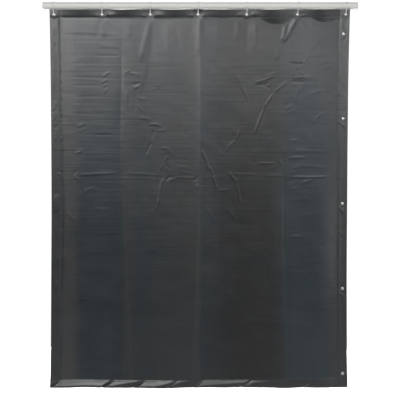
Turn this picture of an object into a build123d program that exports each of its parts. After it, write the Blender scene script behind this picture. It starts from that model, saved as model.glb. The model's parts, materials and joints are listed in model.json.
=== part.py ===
from build123d import *
import math
import os

# Welding curtain on a hanging rail.
# Frame: origin at the middle of the rail, on its axis. +X runs along the rail,
# the front of the curtain faces -Y, +Z is up. Millimetres.

# ---- driving dimensions -------------------------------------------------
RAIL_LEN = 1470.0          # cut length of the rail tube
RAIL_OD = 32.0             # rail tube outside diameter
RAIL_WALL = 1.5            # rail tube wall

HOOK_X = [-682.6, -458.5, -233.1, -10.5, 216.8, 453.8, 678.8]  # eyelets along the rail
HOOK_LEAN = [-6.0, 1.0, 0.5, 4.0, 4.0, 5.5, 5.0]  # lean of each hook along the rail, degrees
WIRE_D = 4.0               # hook wire
RAIL_CLEAR = 0.6           # play between the hook wire and the rail
RING_LOW_R = 8.0           # centre-line radius of the hook's lower bend
PIVOT_Z = -38.0            # wire centre where the eyelet hangs on the hook

CURTAIN_TOP = -18.5        # top edge of the sheet
CURTAIN_BOTTOM = -1781.0   # bottom edge of the sheet
# side edges of the sheet as it hangs, drawn in a little at mid height: (x, z)
LEFT_EDGE = [(-703.5, -18.5), (-697.0, -300.0), (-693.0, -900.0), (-692.8, -1450.0), (-701.5, -1781.0)]
RIGHT_EDGE = [(697.2, -18.5), (690.0, -300.0), (684.4, -900.0), (682.4, -1450.0), (686.5, -1781.0)]
SHEET_T = 0.4              # PVC sheet
HEM_T = 1.0                # folded and sewn hem
TOP_HEM = 40.0             # hem depths
BOTTOM_HEM = 37.0
LEFT_HEM_IN = -658.0       # inner line of the left hem
RIGHT_HEM_IN = 652.0       # inner line of the right hem
STRIP_HALF = 20.0          # flat band of sheet each side of an eyelet
FOLD_GAP = 3.2             # clearance each side of a pleat ridge line
STRIP_GAP = 1.0            # clearance each side of a pleat root line

EYELET_OD = 15.0           # brass-type eyelet and washer
EYELET_BORE = 8.5
EYELET_WALL = 0.7
EYELET_DROP = 1.25         # eyelet centre below the wire centre
EYELET_Z = PIVOT_Z - EYELET_DROP

STUD_Z = [-130.5 - 396.3 * i for i in range(5)]   # five press studs down each edge
CAP_X = [669.2, 666.9, 664.0, 663.8, 664.2]       # press-stud caps on the right hem
CAP_D = 15.0
CAP_H = 2.4
BALL_X = [-680.5, -676.0, -672.6, -672.3, -675.0]  # mating press studs on the left hem
SOCKET_D = 12.5
SOCKET_BORE = 6.6
SOCKET_H = 3.6
BALL_BASE_D = 12.5
BALL_D = 6.4
BALL_H = 3.2
POST_D = 4.0               # rivet post of a press stud
POST_HEAD_D = 9.0          # flat post head on the front of the left hem
POST_HEAD_H = 0.6

os.makedirs("parts", exist_ok=True)


def out(node, shape):
    export_step(shape, f"parts/{node}.step")


def along_y(x, z, y0, y1, r_out, r_in=0.0):
    """A round bar or ring along Y, from y0 to y1, centred on (x, z)."""
    plane = Plane(origin=(x, y0, z), x_dir=(1, 0, 0), z_dir=(0, 1, 0))
    body = extrude(plane * Circle(r_out), amount=y1 - y0)
    if r_in:
        hole = Plane(origin=(x, y0 - 1, z), x_dir=(1, 0, 0), z_dir=(0, 1, 0)) * Circle(r_in)
        body = body - extrude(hole, amount=y1 - y0 + 2)
    return body


def slab(x0, x1, z0, z1, t):
    """A flat sheet in the XZ plane, centred on y = 0."""
    return Pos((x0 + x1) / 2, 0, (z0 + z1) / 2) * Box(x1 - x0, t, z1 - z0)


# ---- rail tube ----------------------------------------------------------
tube_plane = Plane(origin=(-RAIL_LEN / 2, 0, 0), x_dir=(0, 1, 0), z_dir=(1, 0, 0))
rail = extrude(tube_plane * (Circle(RAIL_OD / 2) - Circle(RAIL_OD / 2 - RAIL_WALL)), amount=RAIL_LEN)
out("rail_tube", rail.solid())


# ---- hooks: a closed teardrop of wire around the rail and through the eyelet ---
def hook(x, lean):
    r1 = RAIL_OD / 2 + RAIL_CLEAR + WIRE_D / 2
    r2 = RING_LOW_R
    zc = PIVOT_Z + RING_LOW_R
    a = math.degrees(math.asin((r1 - r2) / abs(zc)))
    plane = Plane(origin=(x, 0, 0), x_dir=(0, 1, 0), z_dir=(1, 0, 0))
    ca, sa = math.cos(math.radians(a)), math.sin(math.radians(a))
    p1, q1 = (r1 * ca, -r1 * sa), (-r1 * ca, -r1 * sa)
    p2, q2 = (r2 * ca, zc - r2 * sa), (-r2 * ca, zc - r2 * sa)
    top = ThreePointArc(p1, (0, r1), q1)
    left = Line(q1, q2)
    low = ThreePointArc(q2, (0, zc - r2), p2)
    right = Line(p2, p1)
    path = plane * Wire([top, left, low, right])
    start = plane.from_local_coords(Vector(p1[0], p1[1], 0))
    tangent = plane.from_local_coords(Vector(p1[0] + sa, p1[1] + ca, 0)) - start
    section = Plane(origin=start, z_dir=tangent) * Circle(WIRE_D / 2)
    ring = sweep(section, path=path)
    return ring.rotate(Axis((x, 0, PIVOT_Z), (0, 1, 0)), lean)


for i, (x, lean) in enumerate(zip(HOOK_X, HOOK_LEAN), 1):
    out(f"curtain_hook_{i}", hook(x, lean).solid())


# ---- eyelets: a flanged barrel pressed through the hem onto a back washer -----
h = HEM_T / 2
for i, x in enumerate(HOOK_X, 1):
    flange = along_y(x, EYELET_Z, -h - EYELET_WALL, -h, EYELET_OD / 2, EYELET_BORE / 2)
    barrel = along_y(x, EYELET_Z, -h, h + EYELET_WALL, EYELET_BORE / 2 + EYELET_WALL, EYELET_BORE / 2)
    grommet = (flange + barrel).solid()
    washer = along_y(x, EYELET_Z, h, h + EYELET_WALL, EYELET_OD / 2, EYELET_BORE / 2 + EYELET_WALL + 0.05).solid()
    out(f"eyelet_{i}", Compound(children=[grommet, washer]))


# ---- curtain sheet: flat bands at the eyelets, and two folding halves between them
def hem_band(edge, x_in):
    """A side hem, from its inner line out to the sheet's edge."""
    outline = [(x_in, edge[0][1])] + edge + [(x_in, edge[-1][1])]
    return extrude(Plane.XZ * Polygon(*outline, align=None), amount=h, both=True)


def band(x0, x1):
    body = slab(x0, x1, CURTAIN_BOTTOM + BOTTOM_HEM, CURTAIN_TOP - TOP_HEM, SHEET_T)
    top = slab(x0, x1, CURTAIN_TOP - TOP_HEM, CURTAIN_TOP, HEM_T)
    low = slab(x0, x1, CURTAIN_BOTTOM, CURTAIN_BOTTOM + BOTTOM_HEM, HEM_T)
    return body + top + low


def punched(shape, x, z, r):
    return shape - along_y(x, z, -5, 5, r)


n = len(HOOK_X)
left_root = [LEFT_HEM_IN] + [x + STRIP_HALF for x in HOOK_X[1:-1]]   # where each span starts
right_root = [x - STRIP_HALF for x in HOOK_X[1:-1]] + [RIGHT_HEM_IN]  # where it ends
for i, x in enumerate(HOOK_X, 1):
    if i == 1:
        strip = hem_band(LEFT_EDGE, left_root[0] - STRIP_GAP)
    elif i == n:
        strip = hem_band(RIGHT_EDGE, right_root[-1] + STRIP_GAP)
    else:
        strip = band(right_root[i - 2] + STRIP_GAP, left_root[i - 1] - STRIP_GAP)
    strip = punched(strip, x, EYELET_Z, EYELET_BORE / 2 + EYELET_WALL + 0.05)
    if i == n:
        for cx, z in zip(CAP_X, STUD_Z):
            strip = punched(strip, cx, z, POST_D / 2 + 0.05)
    if i == 1:
        for bx, z in zip(BALL_X, STUD_Z):
            strip = punched(strip, bx, z, POST_D / 2 + 0.05)
    out(f"curtain_band_{i}", strip.solid())
for k in range(n - 1):
    x0, x1 = left_root[k], right_root[k]
    mid = (x0 + x1) / 2
    out(f"curtain_panel_{k + 1}a", band(x0 + STRIP_GAP, mid - FOLD_GAP).solid())
    out(f"curtain_panel_{k + 1}b", band(mid + FOLD_GAP, x1 - STRIP_GAP).solid())


# ---- press studs: caps and sockets on the right hem, ball studs on the left ----
def domed(x, z, y_face, d, height, post_end):
    """A shallow domed cap standing out of the front of the hem, with its post going back through the hem."""
    low = (Align.CENTER, Align.CENTER, Align.MIN)
    rise = 0.5 * height
    big = (d * d / 4 + rise * rise) / (2 * rise)
    cap = Cylinder(d / 2, height + 1, align=low) & (Pos(0, 0, height - big) * Sphere(big))
    post = Pos(0, 0, y_face - post_end) * Cylinder(POST_D / 2, post_end - y_face, align=low)
    return Pos(x, y_face, z) * (Rot(X=90) * (cap + post))


caps, sockets, balls, posts = [], [], [], []
for cx, bx, z in zip(CAP_X, BALL_X, STUD_Z):
    caps.append(domed(cx, z, -h, CAP_D, CAP_H, h + 1.0).solid())
    base = along_y(cx, z, h, h + 1.0, SOCKET_D / 2, POST_D / 2 + 0.05)
    cup = along_y(cx, z, h + 1.0, h + SOCKET_H, SOCKET_D / 2 - 1.2, SOCKET_BORE / 2)
    sockets.append((base + cup).solid())
    posts.append(domed(bx, z, -h, POST_HEAD_D, POST_HEAD_H, h + 0.9).solid())
    foot = along_y(bx, z, h, h + 1.0, BALL_BASE_D / 2)
    foot = foot - along_y(bx, z, h - 1, h + 0.95, POST_D / 2 + 0.05)
    neck = along_y(bx, z, h + 1.0, h + 1.0 + BALL_H, BALL_D / 2)
    neck = fillet(neck.edges().sort_by(Axis.Y)[-1:], 0.8)
    balls.append((foot + neck).solid())
out("press_stud_caps", Compound(children=caps))
out("press_stud_sockets", Compound(children=sockets))
for i, post in enumerate(posts, 1):
    out(f"press_stud_post_{i}", post)
out("press_stud_balls", Compound(children=balls))
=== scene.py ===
import bpy
import json
import math
import numpy as np
from mathutils import Vector, Matrix


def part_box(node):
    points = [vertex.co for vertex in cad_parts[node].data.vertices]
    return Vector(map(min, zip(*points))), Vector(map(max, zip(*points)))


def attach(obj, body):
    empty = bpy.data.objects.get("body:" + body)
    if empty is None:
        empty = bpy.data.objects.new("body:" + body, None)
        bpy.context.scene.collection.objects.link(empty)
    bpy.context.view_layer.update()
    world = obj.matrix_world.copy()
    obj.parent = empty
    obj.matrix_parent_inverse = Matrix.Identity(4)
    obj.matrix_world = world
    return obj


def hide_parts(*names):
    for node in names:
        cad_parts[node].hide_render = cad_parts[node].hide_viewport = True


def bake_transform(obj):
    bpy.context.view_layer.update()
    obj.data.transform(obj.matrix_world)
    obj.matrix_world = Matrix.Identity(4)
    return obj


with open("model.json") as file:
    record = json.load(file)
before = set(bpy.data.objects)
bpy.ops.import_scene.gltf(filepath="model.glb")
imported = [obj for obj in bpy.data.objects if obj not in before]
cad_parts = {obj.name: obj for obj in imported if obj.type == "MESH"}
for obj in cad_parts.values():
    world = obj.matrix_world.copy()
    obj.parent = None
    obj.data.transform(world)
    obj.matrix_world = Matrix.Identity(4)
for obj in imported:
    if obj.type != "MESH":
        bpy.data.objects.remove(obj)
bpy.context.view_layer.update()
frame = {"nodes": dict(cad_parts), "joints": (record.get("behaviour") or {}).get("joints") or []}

MM = 0.001
scene = bpy.context.scene

# ---------------------------------------------------------------------------
# camera: head-on, level, at the middle of the curtain's height
# ---------------------------------------------------------------------------
CAM_D = 5.6
cam_data = bpy.data.cameras.new("camera")
cam = bpy.data.objects.new("camera", cam_data)
scene.collection.objects.link(cam)
cam_data.sensor_width = 36.0
cam_data.lens = 36.0 * CAM_D / 1.8668
cam_data.clip_end = 60
cam.location = (-0.0012, -CAM_D, -0.9063)
cam.rotation_euler = (math.radians(90), 0, 0)
scene.camera = cam

# ---------------------------------------------------------------------------
# sizes taken from the frame
# ---------------------------------------------------------------------------
joints = {j["name"]: j for j in frame["joints"]}
HOOK_X = [joints["curtain_swing"]["pos_m"][0] * 1000] + [
    joints[f"hook_{k}_hang"]["pos_m"][0] * 1000 for k in range(2, 8)
]
PIVOT_Z = joints["curtain_swing"]["pos_m"][2] * 1000
ROOT_OUT = [joints["curtain_draw"]["pos_m"][0] * 1000] + [
    joints[f"pleat_{k}_out"]["pos_m"][0] * 1000 for k in range(2, 7)
]
RIDGE = [joints[f"pleat_{k}_ridge"]["pos_m"][0] * 1000 for k in range(1, 7)]
ROOT_IN = [joints[f"pleat_{k}_in"]["pos_m"][0] * 1000 for k in range(1, 7)]

U_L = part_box("curtain_band_1")[0].x * 1000
U_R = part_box("curtain_band_7")[1].x * 1000
V_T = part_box("curtain_band_4")[1].z * 1000
V_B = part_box("curtain_band_4")[0].z * 1000
EY = [
    ((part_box(f"eyelet_{k}")[0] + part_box(f"eyelet_{k}")[1]) * 500) for k in range(1, 8)
]
EYE_Z = EY[0].z


def centres(node):
    """Centres of the separate bodies of a grouped node, top to bottom, in mm."""
    me = frame["nodes"][node].data
    co = np.array([v.co for v in me.vertices], float) * 1000
    zs = np.sort(co[:, 2])
    gaps = np.where(np.diff(zs) > 100)[0]
    edges = np.concatenate([[zs[0] - 1], (zs[gaps] + zs[gaps + 1]) / 2, [zs[-1] + 1]])
    out = []
    for a, b in zip(edges[:-1], edges[1:]):
        c = co[(co[:, 2] > a) & (co[:, 2] < b)]
        m = (c.min(0) + c.max(0)) / 2
        out.append((m[0], m[2]))
    return out[::-1]


CAPS = centres("press_stud_caps")
BALLS = centres("press_stud_balls")

# ---------------------------------------------------------------------------
# node helpers
# ---------------------------------------------------------------------------


class Nodes:
    def __init__(self, name):
        self.m = bpy.data.materials.new(name)
        self.m.use_nodes = True
        self.t = self.m.node_tree
        self.t.nodes.clear()
        self.out = self.t.nodes.new("ShaderNodeOutputMaterial")
        self.bsdf = self.t.nodes.new("ShaderNodeBsdfPrincipled")
        self.t.links.new(self.bsdf.outputs[0], self.out.inputs[0])

    def add(self, kind, **kw):
        n = self.t.nodes.new(kind)
        for k, v in kw.items():
            if k in n.inputs:
                n.inputs[k].default_value = v
            else:
                setattr(n, k, v)
        return n

    def link(self, a, b):
        self.t.links.new(a, b)

    def math(self, op, a, b=None, clamp=False):
        n = self.t.nodes.new("ShaderNodeMath")
        n.operation = op
        n.use_clamp = clamp
        for i, x in enumerate((a, b)):
            if x is None:
                continue
            if isinstance(x, (int, float)):
                n.inputs[i].default_value = x
            else:
                self.link(x, n.inputs[i])
        return n.outputs[0]

    def noise(self, vec, scale, detail=2.0, rough=0.5, distort=0.0):
        n = self.t.nodes.new("ShaderNodeTexNoise")
        n.inputs["Scale"].default_value = scale
        n.inputs["Detail"].default_value = detail
        n.inputs["Roughness"].default_value = rough
        n.inputs["Distortion"].default_value = distort
        self.link(vec, n.inputs["Vector"])
        return n.outputs["Fac"]

    def stretch(self, vec, sx, sy, sz):
        n = self.t.nodes.new("ShaderNodeMapping")
        n.inputs["Scale"].default_value = (sx, sy, sz)
        self.link(vec, n.inputs["Vector"])
        return n.outputs[0]

    def ramp(self, fac, stops):
        n = self.t.nodes.new("ShaderNodeValToRGB")
        e = n.color_ramp.elements
        while len(e) < len(stops):
            e.new(0.5)
        for i, (p, c) in enumerate(stops):
            e[i].position = p
            e[i].color = (*c, 1) if len(c) == 3 else c
        self.link(fac, n.inputs[0])
        return n.outputs[0]

    def range(self, fac, a, b, c, d):
        n = self.t.nodes.new("ShaderNodeMapRange")
        n.inputs[1].default_value, n.inputs[2].default_value = a, b
        n.inputs[3].default_value, n.inputs[4].default_value = c, d
        self.link(fac, n.inputs[0])
        return n.outputs[0]

    def mix(self, fac, a, b):
        n = self.t.nodes.new("ShaderNodeMix")
        n.data_type = "RGBA"
        if isinstance(fac, (int, float)):
            n.inputs[0].default_value = fac
        else:
            self.link(fac, n.inputs[0])
        for x, s in ((a, n.inputs[6]), (b, n.inputs[7])):
            if isinstance(x, tuple):
                s.default_value = (*x, 1)
            else:
                self.link(x, s)
        return n.outputs[2]

    def bump(self, height, dist, strength=1.0, normal=None):
        n = self.t.nodes.new("ShaderNodeBump")
        n.inputs["Strength"].default_value = strength
        n.inputs["Distance"].default_value = dist
        self.link(height, n.inputs["Height"])
        if normal is not None:
            self.link(normal, n.inputs["Normal"])
        return n.outputs[0]


def pvc_material():
    """Satin PVC film: a faint orange peel, calender streaks across, dusty smudges and
    lighter fold lines. It reads the sheet's own flat coordinates, in metres."""
    k = Nodes("pvc_film")
    uv = k.add("ShaderNodeUVMap", uv_map="flat").outputs[0]
    wear = k.add("ShaderNodeAttribute", attribute_name="wear").outputs["Fac"]
    # painted colour reflection and painted shading come in from the sheet's attributes
    hue_and_painted_reflection = k.add("ShaderNodeAttribute", attribute_name="hue_and_painted_reflection").outputs["Fac"]
    painted_shading = k.add("ShaderNodeAttribute", attribute_name="painted_shading").outputs["Fac"]
    cloudy = k.noise(uv, 3.2, 5, 0.6, 0.3)
    patch = k.noise(k.stretch(uv, 6, 11, 1), 1.0, 6, 0.65)
    streak = k.noise(k.stretch(uv, 3.0, 95, 1), 1.0, 2, 0.5)
    peel = k.noise(uv, 420, 2, 0.5)
    grain = k.noise(uv, 1500, 2, 0.6)
    scuff = k.noise(k.stretch(uv, 26, 150, 1), 1.0, 7, 0.7, 1.2)
    col = k.mix(k.range(hue_and_painted_reflection, -1, 1, 0, 1), (0.0156, 0.0250, 0.0312), (0.0262, 0.0255, 0.0252))
    # the colour lightened or darkened by the painted shading, and by random cloudiness
    level = k.math("MULTIPLY", painted_shading, k.range(cloudy, 0.3, 0.7, 0.92, 1.08))
    v = k.t.nodes.new("ShaderNodeVectorMath")
    v.operation = "SCALE"
    k.link(col, v.inputs[0])
    k.link(level, v.inputs["Scale"])
    col = v.outputs[0]
    dusty = k.range(patch, 0.5, 0.85, 0, 0.25)
    col = k.mix(dusty, col, (0.044, 0.046, 0.047))
    col = k.mix(k.math("MULTIPLY", wear, 0.5), col, (0.085, 0.088, 0.088))
    scratches = k.range(scuff, 0.66, 0.86, 0, 0.3)
    col = k.mix(scratches, col, (0.050, 0.053, 0.054))
    k.link(col, k.bsdf.inputs["Base Color"])
    r = k.math("ADD", k.range(streak, 0.3, 0.7, -0.02, 0.02), k.range(patch, 0.3, 0.8, 0.285, 0.345))
    k.link(r, k.bsdf.inputs["Roughness"])
    k.bsdf.inputs["IOR"].default_value = 1.54
    b = k.bump(peel, 0.00012, 0.5)
    b = k.bump(grain, 0.00003, 0.5, b)
    b = k.bump(streak, 0.0006, 0.5, b)
    k.link(b, k.bsdf.inputs["Normal"])
    return k.m


def thread_material():
    k = Nodes("sewing_thread")
    uv = k.add("ShaderNodeUVMap", uv_map="flat").outputs[0]
    n = k.noise(uv, 900, 3, 0.6)
    col = k.ramp(n, [(0.3, (0.020, 0.021, 0.022)), (0.7, (0.060, 0.062, 0.063))])
    k.link(col, k.bsdf.inputs["Base Color"])
    k.bsdf.inputs["Roughness"].default_value = 0.6
    w = k.add("ShaderNodeTexWave")
    w.inputs["Scale"].default_value = 900
    w.inputs["Distortion"].default_value = 1.0
    k.link(uv, w.inputs["Vector"])
    k.link(k.bump(w.outputs["Fac"], 0.0001, 0.6), k.bsdf.inputs["Normal"])
    return k.m


def rail_material():
    """Light grey stoved paint, a little rubbed where the hooks slide along the top."""
    k = Nodes("rail_paint")
    obj = k.add("ShaderNodeTexCoord").outputs["Object"]
    sep = k.add("ShaderNodeSeparateXYZ")
    k.link(obj, sep.inputs[0])
    big = k.noise(k.stretch(obj, 3, 14, 14), 1.0, 5, 0.6)
    speck = k.noise(obj, 260, 3, 0.6)
    col = k.ramp(big, [(0.3, (0.655, 0.652, 0.628)), (0.7, (0.705, 0.702, 0.676))])
    dust = k.range(speck, 0.60, 0.80, 0, 0.25)
    col = k.mix(dust, col, (0.42, 0.41, 0.38))
    top = k.range(sep.outputs["Z"], 0.0130, 0.0160, 0, 1)
    rub = k.noise(k.stretch(obj, 9, 300, 300), 1.0, 7, 0.7, 0.4)
    rubbed = k.math("MULTIPLY", top, k.range(rub, 0.45, 0.75, 0, 0.75), True)
    col = k.mix(rubbed, col, (0.36, 0.36, 0.35))
    k.link(col, k.bsdf.inputs["Base Color"])
    r = k.range(k.noise(obj, 60, 3), 0.3, 0.7, 0.40, 0.52)
    k.link(r, k.bsdf.inputs["Roughness"])
    peel = k.noise(obj, 700, 2)
    b = k.bump(peel, 0.00010, 0.5)
    b = k.bump(rub, 0.00012, 0.4, b)
    k.link(b, k.bsdf.inputs["Normal"])
    return k.m


def bare_steel_material():
    """Cut steel at the rail's ends and inside the bore."""
    k = Nodes("rail_bare_steel")
    obj = k.add("ShaderNodeTexCoord").outputs["Object"]
    n = k.noise(k.stretch(obj, 20, 500, 500), 1.0, 6, 0.7)
    col = k.ramp(n, [(0.3, (0.17, 0.165, 0.155)), (0.75, (0.36, 0.35, 0.335))])
    k.link(col, k.bsdf.inputs["Base Color"])
    k.bsdf.inputs["Metallic"].default_value = 0.8
    k.link(k.range(n, 0.3, 0.7, 0.42, 0.62), k.bsdf.inputs["Roughness"])
    k.link(k.bump(n, 0.00015, 0.6), k.bsdf.inputs["Normal"])
    return k.m


def metal_material(name, dark, light, rough, streaks, metallic=1.0):
    k = Nodes(name)
    obj = k.add("ShaderNodeTexCoord").outputs["Object"]
    n = k.noise(k.stretch(obj, *streaks), 1.0, 5, 0.65)
    spot = k.noise(obj, 210, 4, 0.6)
    col = k.ramp(n, [(0.3, dark), (0.7, light)])
    k.link(k.mix(k.range(spot, 0.58, 0.8, 0, 0.45), col, tuple(c * 0.6 for c in dark)), k.bsdf.inputs["Base Color"])
    k.bsdf.inputs["Metallic"].default_value = metallic
    k.link(k.range(spot, 0.3, 0.75, rough - 0.06, rough + 0.12), k.bsdf.inputs["Roughness"])
    k.link(k.bump(n, 0.00006, 0.5), k.bsdf.inputs["Normal"])
    return k.m


PVC = pvc_material()
THREAD = thread_material()
RAIL = rail_material()
BARE = bare_steel_material()
ZINC = metal_material("hook_zinc_wire", (0.80, 0.80, 0.79), (0.90, 0.90, 0.89), 0.36, (900, 900, 90), 0.15)
NICKEL = metal_material("eyelet_nickel", (0.27, 0.265, 0.26), (0.38, 0.375, 0.365), 0.38, (700, 700, 700))
STUD = metal_material("press_stud_nickel", (0.42, 0.415, 0.41), (0.56, 0.555, 0.55), 0.34, (500, 500, 500))

# ---------------------------------------------------------------------------
# shape of the hanging sheet, in its own flat coordinates (u across, v up, mm)
# ---------------------------------------------------------------------------
STEP = 2.0
GU = np.arange(-714.0, 709.0, STEP)
GV = np.arange(-1794.0, -7.0, STEP)
U, V = np.meshgrid(GU, GV, indexing="ij")


def step(a, b, x):
    t = np.clip((x - a) / (b - a), 0, 1)
    return t * t * (3 - 2 * t)


def lattice(U, V, su, sv, seed):
    """Smooth noise, -1 to 1, with cells su by sv."""
    x, y = (U + 900) / su, (V + 1900) / sv
    rng = np.random.RandomState(seed)
    tab = rng.rand(int(1800 / su) + 4, int(2000 / sv) + 4) * 2 - 1
    i, j = np.floor(x).astype(int), np.floor(y).astype(int)
    fx, fy = x - i, y - j
    fx = fx**3 * (fx * (fx * 6 - 15) + 10)
    fy = fy**3 * (fy * (fy * 6 - 15) + 10)
    a, b = tab[i, j], tab[i + 1, j]
    c, d = tab[i, j + 1], tab[i + 1, j + 1]
    return (a * (1 - fx) + b * fx) * (1 - fy) + (c * (1 - fx) + d * fx) * fy


def curve(xs, ys, x):
    """Smooth curve through points, flat outside them."""
    xs, ys = np.array(xs, float), np.array(ys, float)
    x = np.clip(np.asarray(x, float), xs[0], xs[-1])
    h = np.diff(xs)
    d = np.diff(ys) / h
    m = np.zeros_like(ys)
    m[1:-1] = (d[:-1] * h[1:] + d[1:] * h[:-1]) / (h[:-1] + h[1:])
    m[0], m[-1] = d[0], d[-1]
    k = np.clip(np.searchsorted(xs, x) - 1, 0, len(xs) - 2)
    t = (x - xs[k]) / h[k]
    return (
        (2 * t**3 - 3 * t**2 + 1) * ys[k]
        + (t**3 - 2 * t**2 + t) * h[k] * m[k]
        + (-2 * t**3 + 3 * t**2) * ys[k + 1]
        + (t**3 - t**2) * h[k] * m[k + 1]
    )


# depth of the hang, mm forward of the hooks' plane: one column at each edge, hook and mid-span
NET_U = [U_L, HOOK_X[0]]
for k in range(6):
    NET_U += [RIDGE[k], HOOK_X[k + 1]]
NET_U += [U_R]
NET_V = [-1790.0, -1600.0, -1250.0, -900.0, -600.0, -380.0, -220.0, -120.0]
NET = [
    # L   h1   m1   h2   m2   h3   m3   h4   m4   h5   m5   h6   m6   h7   R
    [2.0, 1.0, 6.0, 4.0, 9.0, 5.0, 10., 6.0, 5.0, 2.0, 2.0, 3.0, 7.0, 1.0, 0.0],
    [1.0, 0.5, 6.0, 4.0, 8.0, 5.0, 9.0, 7.0, 4.0, 1.5, 2.0, 3.0, 8.0, 1.0, 0.0],
    [0.5, 0.5, 6.0, 5.0, 8.0, 6.0, 9.0, 8.0, 4.0, 1.5, 2.0, 3.5, 9.0, 1.0, 0.0],
    [0.5, 0.5, 7.0, 6.0, 9.0, 6.0, 9.0, 8.0, 4.5, 2.0, 2.5, 4.0, 9.0, 1.0, 0.0],
    [0.5, 0.5, 8.0, 7.0, 9.0, 6.0, 9.0, 7.0, 5.0, 2.5, 3.5, 4.0, 8.0, 1.0, 0.0],
    [0.5, 0.5, 8.5, 6.0, 9.0, 5.0, 8.5, 6.0, 5.0, 2.5, 4.0, 3.5, 7.0, 0.5, 0.0],
    [0.5, 0.5, 7.5, 4.0, 8.0, 3.5, 7.5, 4.0, 5.0, 2.0, 4.0, 2.0, 5.0, 0.5, 0.0],
    [0.0, 0.0, 5.5, 2.0, 6.0, 2.0, 6.0, 2.0, 5.0, 1.0, 3.5, 1.0, 4.0, 0.0, 0.0],
]

HEM_TOP = V_T - 40.0
HEM_LOW = V_B + 37.0
HEM_LEFT = -655.5
HEM_RIGHT = 651.0
SEAM_IN = 5.0  # stitch line inside the hem's inner edge

LEFT_Z = [-1790, -1714, -1600, -1450, -1322, -900, -600, -300, -100, -18]
LEFT_X = [-702.0, -699.6, -697.8, -696.8, -696.2, -694.5, -696.0, -698.6, -702.0, -704.0]
RIGHT_X = [687.6, 686.2, 684.6, 683.9, 683.6, 685.8, 688.2, 692.0, 697.0, 699.5]

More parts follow.
